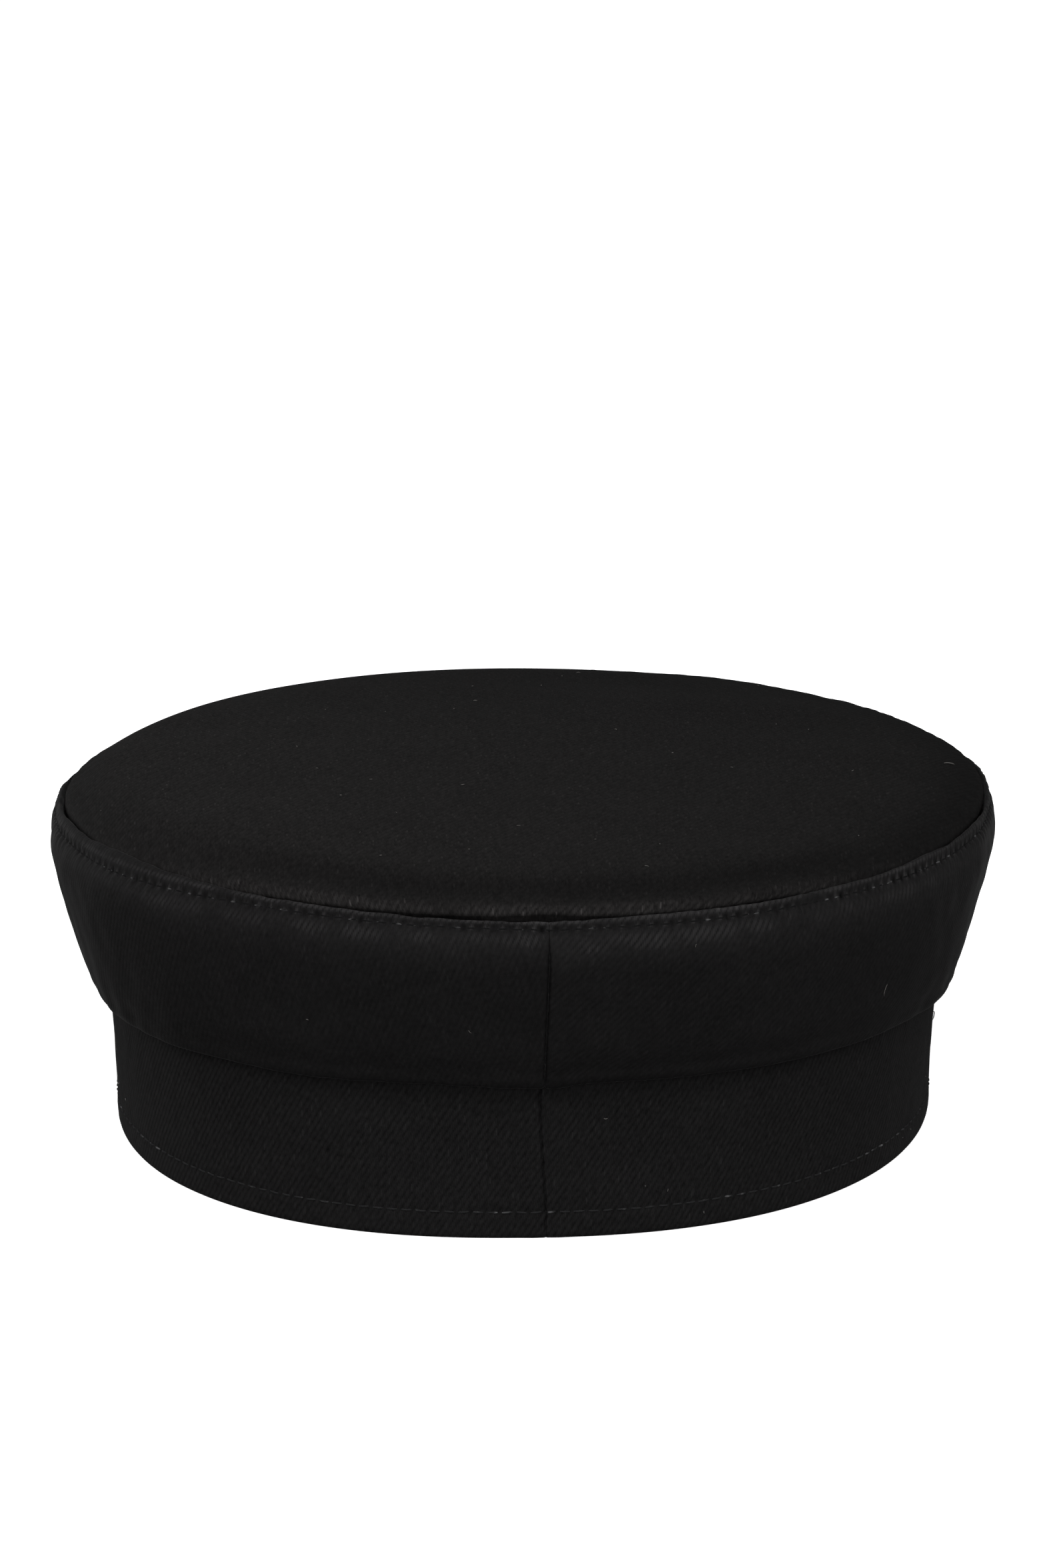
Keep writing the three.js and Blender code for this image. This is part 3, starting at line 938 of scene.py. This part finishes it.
def peakReach(part):
    # Length in front of the headband: full on the centre line, short at the corners
    return peak["cornerLength"] + (peak["length"] - peak["cornerLength"]) * peakFullness(part) ** 1.1


def peakTurn(part):
    return math.pi + part * peak["halfAngle"]


def peakTable():
    # Running length along the row of stitches, zero on the centre line
    part = np.linspace(-1, 1, 1601)
    inside = np.clip(peakReach(part) - peak["stitchIn"], 0, None)
    length = runningLength(onOval(peakTurn(part), peak["rootOut"] + inside, 0 * part))
    return part, length - length[-1] / 2


peakPart, peakLength = peakTable()
peakStep = stitch["pitch"]


def peakPoint(part, outward, thick, dimple):
    # share goes from root to edge. The middle of the wall falls from root height to edge height and arches:
    # 4 arch share (1 - share) fullness^2. thick is the height above that middle.
    reach = peakReach(part)
    share = outward / reach
    middle = peak["rootUp"] + (peak["edgeUp"] - peak["rootUp"]) * share
    middle = middle + peak["arch"] * 4 * share * (1 - share) * peakFullness(part) ** 2
    along = np.interp(part, peakPart, peakLength)
    fromRow = reach - outward - peak["stitchIn"]
    rowPull, holePull = peak["stitchPull"]
    pull = holePull * bell(fromMiddle(along, peakStep), 0.6) * bell(fromRow, 0.6)
    pull = rowPull * bell(fromRow, 0.9) + pull
    up = middle + softForm(along, outward, 1000.0, peak["softForm"]) + thick * (1 - dimple * pull)
    return onOval(peakTurn(part), peak["rootOut"] + outward, up)


def buildPeak():
    # Section: out along the top, half round the edge, back along the underside.
    faceColumns, edgeColumns = peak["columns"]
    part = np.linspace(1, -1, peak["rows"])[:, None]
    half = np.minimum(peak["wall"] / 2, peakReach(part) / 2)
    flatRun = peakReach(part) - half
    shares = spread(0, 1, faceColumns, [(0.88, 0.07, 2.0)])[None, :]
    top = flatRun * shares
    bend = np.linspace(math.pi / 2, -math.pi / 2, edgeColumns + 2)[None, 1:-1]
    groove = 1 - peak["seamDepth"] / (peak["wall"] / 2) * bell(bend, 0.32)
    outward = np.hstack([top, flatRun + half * np.cos(bend) * groove, top[:, ::-1]])
    thick = np.hstack([half + 0 * shares, half * np.sin(bend) * groove, -half - 0 * shares])
    dimple = np.hstack([0 * shares + 1, 0 * bend, 0 * shares + 1])
    points = peakPoint(part, outward, thick, dimple)
    # Each cloth is cut flat and wraps round its half of the edge.
    beyond = flatRun + half * math.pi + flatRun * (1 - shares[:, ::-1])
    topRun = np.hstack([top, flatRun + half * (math.pi / 2 - bend), beyond, beyond[:, -1:]])
    above, below = (
        onOval(peakTurn(part), peak["rootOut"] + run, 0 * run)[..., :2] * [sign, 1] * mm
        for sign, run in ((1, topRun), (-1, topRun[:, -1:] - topRun))
    )
    material = twillMaterial("blackTwillPeak", peak["cloth"])
    split = faceColumns + edgeColumns // 2
    return finishPiece(addWall("peakCloth", points, above, False, material, None, below, split), "peak")


def buildPeakStitches(name, side, seed):
    # A row a little way in from the edge, on the top or (side -1) on the underside
    def shape(along, dimple):
        part = np.interp(along, peakLength, peakPart)
        reach = peakReach(part)
        return peakPoint(part, reach - peak["stitchIn"], side * np.minimum(peak["wall"], reach) / 2, dimple)

    def read(along):
        here = shape(along, 0.0)
        out = np.zeros_like(here)
        out[..., 2] = side
        return shape(along, 1.0), out

    rising = peakPart <= 0
    end = np.interp(peak["stitchReach"], peakReach(peakPart[rising]), peakLength[rising])
    last = int(abs(end) / peakStep)
    centres = (np.arange(-last, last) + 0.5) * peakStep
    return stitchRow(name, read, centres, hemThread, seed, peak["stitchSink"])


buildPeak()
buildPeakStitches("peakTopStitches", 1, 42)
buildPeakStitches("peakUnderStitches", -1, 43)
print("peak done")

lint = {
    "count": 56,
    "tipShare": 0.65,
    "bandShare": 0.15,  # the rest lies on the headband
    "radius": [0.05, 0.12],
    "length": [0.25, 0.9],
    "longLength": 2.6,  # one on each part of the cap
    "bend": 0.6,
    "near": 0.3,  # the cloth's slopes are read over this far
    "colour": (0.11, 0.105, 0.1, 1),
}


def buildLint():
    # Tiny bent fibres: with s from -1 to 1 along one, it bends by s^2 and its radius goes as (1 - s^6)^0.5.
    dice = np.random.default_rng(51)
    onTip = int(lint["count"] * lint["tipShare"])
    onBand = int(lint["count"] * lint["bandShare"])
    onRest = lint["count"] - onTip - onBand
    inward = tip["meanRadius"] * (1 - np.sqrt(dice.uniform(0.02, 0.9, onTip)))
    tipRun = np.interp(inward, tipOver[:, 1], tipOver[:, 0])
    places = [
        (tipSkin, dice.uniform(-0.5, 0.5, onTip) * tipRound, tipRun),
        (bandSkin, dice.uniform(-0.5, 0.5, onBand) * bandRound, dice.uniform(8, bandStitchRun - 4, onBand)),
        (headbandSkin, dice.uniform(-0.3, 0.3, onRest) * headbandRound, dice.uniform(4, 28, onRest)),
    ]
    s = np.linspace(-1, 1, 7)
    angle = ringAngles(5)
    bars = []
    for skin, along, run in places:
        count = len(along)
        here = skin(along, run)
        one = unit(skin(along + lint["near"], run) - here)
        out = unit(np.cross(one, skin(along, run + lint["near"]) - here))
        # Out is up on the tip, and away from the middle elsewhere.
        away = [0, 0, 1] if skin is tipSkin else here * [1, 1, 0]
        out = out * np.sign((out * away).sum(axis=-1, keepdims=True))
        heading = dice.uniform(0, math.pi, (count, 1))
        way = one * np.cos(heading) + np.cross(out, one) * np.sin(heading)
        side = np.cross(out, way)
        half = dice.uniform(*lint["length"], (count, 1)) / 2
        half[:1] = lint["longLength"] / 2
        bend = half * dice.uniform(-lint["bend"], lint["bend"], (count, 1))
        radius = dice.uniform(*lint["radius"], (count, 1))
        rise = radius * 0.7 + half * 0.12 * (1 - s ** 2)
        line = here[:, None] + way[:, None] * (half * s)[..., None]
        line = line + side[:, None] * (bend * s ** 2)[..., None] + out[:, None] * rise[..., None]
        thick = (radius * np.sqrt(1 - (0.98 * s) ** 6))[..., None, None]
        ring = side[:, None, None] * np.cos(angle) + out[:, None, None] * np.sin(angle)
        bars.append(line[:, :, None] + thick * ring)
    return addBars("lintFibres", np.concatenate(bars), plainMaterial("lint", lint["colour"], 0.7))


buildLint()
print("lint done")

floorSettings = {"reach": 12.0, "colour": (0.8, 0.8, 0.8, 1), "glow": 0.85}


def buildFloor():
    # A square of floor with four far walls, so that low views have the same pale ground behind.
    reach = floorSettings["reach"]
    mesh = bpy.data.meshes.new("floor")
    square = [(-reach, -reach), (reach, -reach), (reach, reach), (-reach, reach)]
    points = [(x, y, z) for z in (0, reach) for x, y in square]
    walls = [((i + 1) % 4, i, i + 4, (i + 1) % 4 + 4) for i in range(4)]
    mesh.from_pydata(points, [], [(0, 1, 2, 3), *walls])
    material = plainMaterial("paleFloor", floorSettings["colour"], 0.9)
    shader = material.node_tree.nodes["Principled BSDF"]
    shader.inputs["Emission Color"].default_value = (1, 1, 1, 1)
    shader.inputs["Emission Strength"].default_value = floorSettings["glow"]
    mesh.materials.append(material)
    ground = newObject("floor", mesh)
    # It sheds no light on the cap: the last lamp stands for that.
    ground.visible_diffuse = False
    ground.visible_glossy = False
    ground.visible_shadow = False


studio = {
    "sky": 0.16,
    "skyColour": (1, 1, 1, 1),
    "aim": (0.0, 0.0, 0.04),
    "away": 1.8,  # from the aim to each lamp
    # degrees round from behind towards the wearer's left, degrees up, size, watts.
    # The last one stands for the light that a white ground throws up.
    "lamps": [
        [0, 15, 0.9, 12.0], [0, 50, 0.9, 9.5], [75, 30, 0.9, 7.9], [-75, 30, 0.9, 6.3],
        [130, 12, 0.9, 4.5], [-110, 15, 0.9, 1.0], [150, 50, 0.9, 2.5], [-150, 50, 0.9, 2.5],
        [180, -20, 0.6, 24.0],
    ],
}


def lookAt(place, aim, roll=0.0):
    # Turns -Z towards the aim and keeps +Y up, then rolls about the line of sight.
    forward = unit(np.subtract(aim, place))
    right = unit(np.cross(forward, (0, 0, 1)))
    up = np.cross(right, forward)
    turned = Matrix([[*row] for row in np.column_stack([right, up, -forward])]).to_4x4()
    return Matrix.Translation(place) @ turned @ Matrix.Rotation(roll, 4, "Z")


def towards(around, up):
    # The way that lies this far round from behind and this far up
    flat = math.cos(up)
    return np.array([math.sin(around) * flat, math.cos(around) * flat, math.sin(up)])


def buildLights():
    world = bpy.data.worlds.new("studio")
    bpy.context.scene.world = world
    world.use_nodes = True
    background = world.node_tree.nodes["Background"]
    background.inputs["Color"].default_value = studio["skyColour"]
    background.inputs["Strength"].default_value = studio["sky"]
    aim = studio["aim"]
    for number, (around, up, size, watts) in enumerate(studio["lamps"]):
        place = aim + studio["away"] * towards(math.radians(around), math.radians(up))
        light = bpy.data.lights.new(f"softbox{number}", "AREA")
        light.shape = "DISK"
        light.size = size
        light.energy = watts
        newObject(f"softbox{number}", light).matrix_world = lookAt(place, aim)
    bpy.context.scene.view_settings.view_transform = "Standard"


view = {
    "distance": 1.0,
    "height": 0.3292,
    "swing": math.radians(2.44),  # from straight behind, towards the wearer's left
    "pitch": math.radians(14.801),
    "roll": math.radians(0.068),
    "lens": 114.49,
}


def buildCamera():
    data = bpy.data.cameras.new("camera")
    data.lens = view["lens"]
    data.sensor_width = 36.0
    data.clip_start = 0.05
    data.clip_end = 60.0
    camera = newObject("camera", data)
    place = view["distance"] * towards(view["swing"], 0) + (0, 0, view["height"])
    camera.matrix_world = lookAt(place, place - towards(view["swing"], view["pitch"]), view["roll"])
    bpy.context.scene.camera = camera


buildFloor()
buildLights()
buildCamera()
print("studio done")
